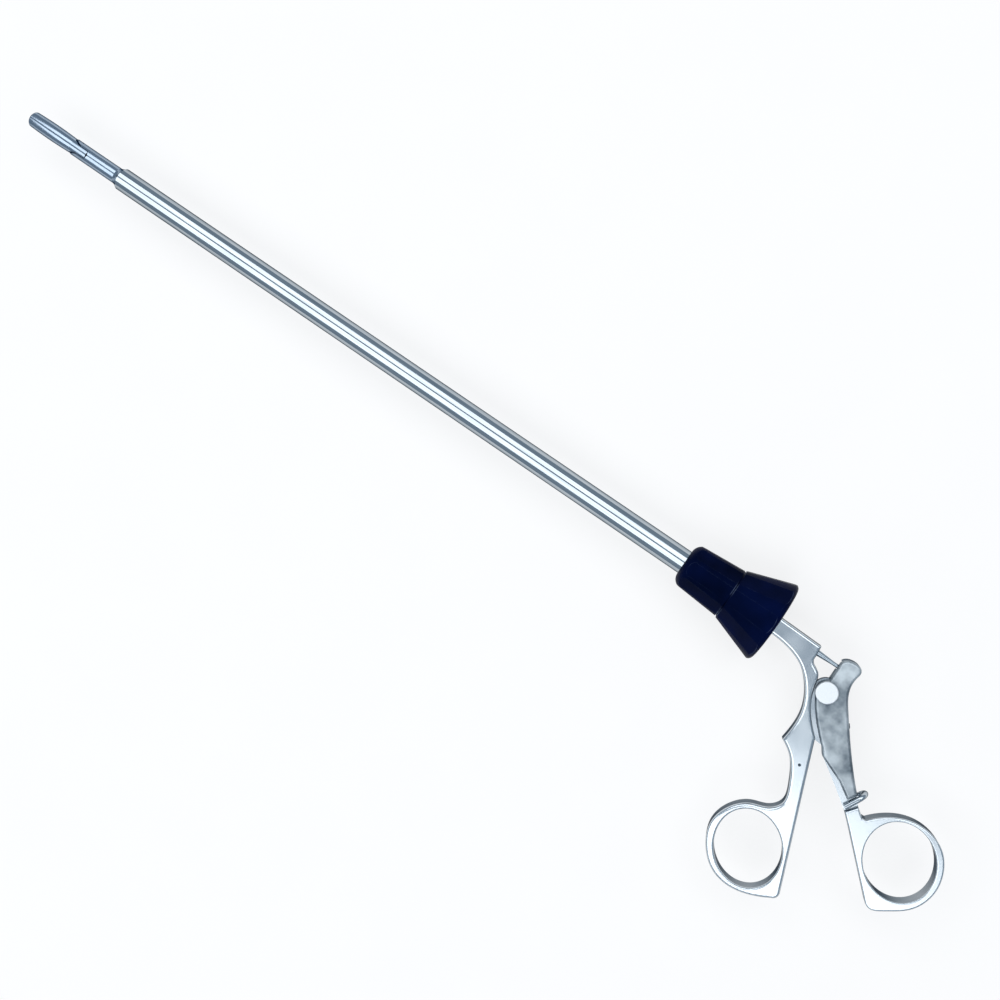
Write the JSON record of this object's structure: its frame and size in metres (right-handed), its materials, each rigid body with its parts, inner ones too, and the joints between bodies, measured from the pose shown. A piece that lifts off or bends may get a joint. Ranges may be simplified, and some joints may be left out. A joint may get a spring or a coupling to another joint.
{
  "type": "gallbladder extractor",
  "caption": "Laparoscopic claw extractor with a long steel shaft, toothed spoon jaws, a dark rotation knob and ring handles.",
  "frame": {"origin": "on the shaft axis at the front face of the knob", "axes": "+X along the shaft to the jaws, +Y towards the finger ring, +Z square to the plane of the handles"},
  "size_m": [0.4921, 0.1123, 0.0346],
  "materials": {
    "handle_steel": "satin",
    "lever_steel": "bead blasted",
    "bright_steel": "polished",
    "tube_steel": "brushed along the tube",
    "jaw_steel": "polished",
    "inner_steel": "ground",
    "knob_plastic": "satin",
    "bush_brass": "turned",
    "seal_rubber": "matte",
    "guide_plastic": "matte"
  },
  "bodies": {
    "handle_frame": {"front_handle": "handle_steel", "knob_spindle": "inner_steel", "spindle_clip": "inner_steel", "pivot_screw": "bright_steel", "pivot_nut": "bright_steel", "tongue_bush": "bush_brass", "handle_pin": "inner_steel"},
    "rear_handle": {"rear_lever": "lever_steel", "thumb_arm": "handle_steel", "retaining_clip": "bright_steel", "lever_set_screw": "inner_steel"},
    "shaft_assembly": {"rotation_knob": "knob_plastic", "knob_collar": "knob_plastic", "knob_hub": "inner_steel", "hub_screw": "inner_steel", "shaft_tube": "tube_steel", "tube_seal": "seal_rubber", "rod_guide_rear": "guide_plastic", "rod_guide_front": "guide_plastic", "jaw_housing": "jaw_steel", "lower_jaw": "jaw_steel", "jaw_pivot_pin": "inner_steel"},
    "drive_rod": {"push_rod": "inner_steel", "rod_ball": "inner_steel", "drive_fork": "inner_steel", "drive_pin": "inner_steel"},
    "moving_jaw": {"upper_jaw": "jaw_steel"}
  },
  "joints": [
    {"name": "handle_hinge", "type": "hinge", "parent": "handle_frame", "child": "rear_handle", "pos_m": [-0.0725, 0.0104, 0], "axis": [0, 0, 1], "range_deg": [0, 18]},
    {"name": "knob_turn", "type": "hinge", "parent": "handle_frame", "child": "shaft_assembly", "pos_m": [0, 0, 0], "axis": [1, 0, 0], "continuous": true},
    {"name": "rod_slide", "type": "slide", "parent": "shaft_assembly", "child": "drive_rod", "axis": [1, 0, 0], "range_m": [0, 0.00331]},
    {"name": "jaw_hinge", "type": "hinge", "parent": "shaft_assembly", "child": "moving_jaw", "pos_m": [0.317, 0, 0.0009], "axis": [0, -1, 0], "range_deg": [0, 34]}
  ],
  "couplings": [
    {"joint": "rod_slide", "follows": "handle_hinge", "m_per_rad": 0.01054},
    {"joint": "jaw_hinge", "follows": "handle_hinge", "ratio": 1.8888}
  ]
}
